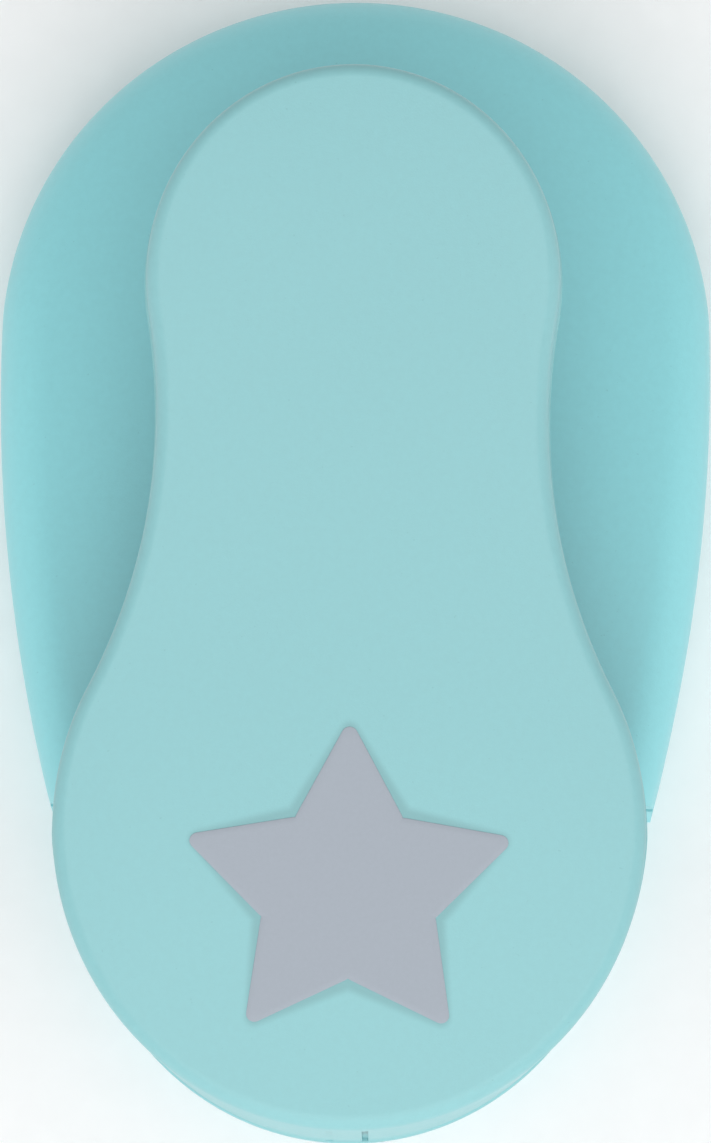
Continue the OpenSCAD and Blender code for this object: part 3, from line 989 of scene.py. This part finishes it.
def soften(piece, width):
    """Joins the split edges of a CAD piece and breaks its sharp edges."""
    weld = piece.modifiers.new("weld", "WELD")
    weld.merge_threshold = 0.002 * MM
    bevel = piece.modifiers.new("edges", "BEVEL")
    bevel.width = width
    bevel.segments = 2
    bevel.limit_method = "ANGLE"
    bevel.angle_limit = math.radians(40)


class PUNCH_OT_metal_works(bpy.types.Operator):
    """Gives the die, cutter, guide, arm, pin and screws their metal finishes"""

    bl_idname = "punch.metal_works"
    bl_label = "Metal works"

    def execute(self, context):
        steel = ground_steel("tool_steel_ground")
        cast = cast_metal("zinc_as_cast")
        plating = plated("zinc_plating")
        finishes = {
            "die_plate": steel, "throat_spacer": steel, "star_punch": steel, "hinge_pin": steel,
            "punch_guide": cast, "punch_head": cast, "lever_arm": cast,
            "punch_head_screws": plating, "guide_screws": plating, "die_screws": plating,
            "base_screws": plating, "lever_screws": plating, "hinge_clips": plating,
        }
        for node, material in finishes.items():
            paint(NODE[node], material)
        for node, width in (("punch_guide", 0.25), ("punch_head", 0.2), ("lever_arm", 0.15)):
            soften(NODE[node], width * MM)
        return {"FINISHED"}


class PUNCH_OT_base_tray(bpy.types.Operator):
    """Gives the base tray its moulded plastic and soft edges, and the stop pad its rubber"""

    bl_idname = "punch.base_tray"
    bl_label = "Base tray and stop pad"

    def execute(self, context):
        finishes = (
            ("base_tray", plastic("tray_plastic_grain", context.scene.punch_finish.body), 0.35),
            ("stop_pad", rubber("stop_rubber"), 0.4),
        )
        for node, material, width in finishes:
            paint(NODE[node], material)
            soften(NODE[node], width * MM)
        return {"FINISHED"}


# ---------------------------------------------------------------- studio


FLOOR_HALF = 1.5
LIGHT_AIM = Vector((0, 0, 20 * MM))
VIEW_AIM = Vector((0.2472 * MM, -1.8268 * MM, 20 * MM))


def area_light(name, place, size, power, target):
    """A square soft light at a place, turned to its target."""
    light = bpy.data.lights.new(name, "AREA")
    light.shape = "RECTANGLE"
    light.size = light.size_y = size
    light.energy = power
    lamp = bpy.data.objects.new(name, light)
    lamp.location = place
    lamp.rotation_euler = (target - place).to_track_quat("-Z", "Y").to_euler()
    bpy.context.scene.collection.objects.link(lamp)


class PUNCH_OT_stage(bpy.types.Operator):
    """Sets up the pale floor, the soft lights and the camera"""

    bl_idname = "punch.stage"
    bl_label = "Stage"

    def execute(self, context):
        s = context.scene.punch_studio
        scene = context.scene
        bm = bmesh.new()
        bmesh.ops.create_grid(bm, x_segments=4, y_segments=4, size=FLOOR_HALF)
        floor = new_piece("floor", bm)
        floor.data.materials.append(paper_floor("floor_paper"))

        world = bpy.data.worlds.new("studio")
        world.use_nodes = True
        sky = world.node_tree.nodes["Background"]
        sky.inputs["Color"].default_value = (1, 1, 1, 1)
        sky.inputs["Strength"].default_value = s.sky
        scene.world = world
        lights = (("key", s.key_side, s.key_front, s.key_power),
                  ("fill", s.key_side, s.fill_front, s.fill_power),
                  ("right", s.rim_side, s.rim_front, s.right_power),
                  ("left", -s.rim_side, s.rim_front, s.left_power))
        for name, side, ahead, power in lights:
            way = Vector((math.tan(side), -math.tan(ahead), 1)).normalized()
            area_light(name, way * s.key_distance, s.key_size, power, LIGHT_AIM)

        back = Vector((math.tan(s.lean), -math.tan(s.tilt), 1)).normalized()
        right = Vector((0, 1, 0)).cross(back).normalized()
        up = back.cross(right)
        lens = bpy.data.cameras.new("view")
        lens.sensor_width = 36
        lens.lens = s.lens
        lens.clip_start = 0.05
        camera = bpy.data.objects.new("view", lens)
        turn = Matrix((right, up, back)).transposed() @ Matrix.Rotation(s.roll, 3, "Z")
        camera.matrix_world = Matrix.Translation(VIEW_AIM + back * s.distance) @ turn.to_4x4()
        scene.collection.objects.link(camera)
        scene.camera = camera
        scene.view_settings.view_transform = "Standard"
        return {"FINISHED"}


# ---------------------------------------------------------------- panel and registration


OPERATORS = (
    PUNCH_OT_stage,
    PUNCH_OT_lever_cover,
    PUNCH_OT_star,
    PUNCH_OT_body_shell,
    PUNCH_OT_base_tray,
    PUNCH_OT_springs,
    PUNCH_OT_metal_works,
)


class PUNCH_PT_panel(bpy.types.Panel):
    bl_label = "Paper Punch"
    bl_idname = "PUNCH_PT_panel"
    bl_space_type = "VIEW_3D"
    bl_region_type = "UI"
    bl_category = "Paper Punch"

    def draw(self, context):
        layout = self.layout
        for key, group in SETTINGS.items():
            box = layout.box()
            box.label(text=group.__name__)
            for name in group.__annotations__:
                box.prop(getattr(context.scene, key), name)
        for operator in OPERATORS:
            layout.operator(operator.bl_idname)


CLASSES = (*SETTINGS.values(), *OPERATORS, PUNCH_PT_panel)


def register():
    for cls in CLASSES:
        bpy.utils.register_class(cls)
    for key, group in SETTINGS.items():
        setattr(bpy.types.Scene, key, PointerProperty(type=group))


def unregister():
    for key in SETTINGS:
        delattr(bpy.types.Scene, key)
    for cls in reversed(CLASSES):
        bpy.utils.unregister_class(cls)


def main():
    register()
    for operator in OPERATORS:
        group, name = operator.bl_idname.split(".")
        getattr(getattr(bpy.ops, group), name)()


if __name__ == "__main__":
    main()
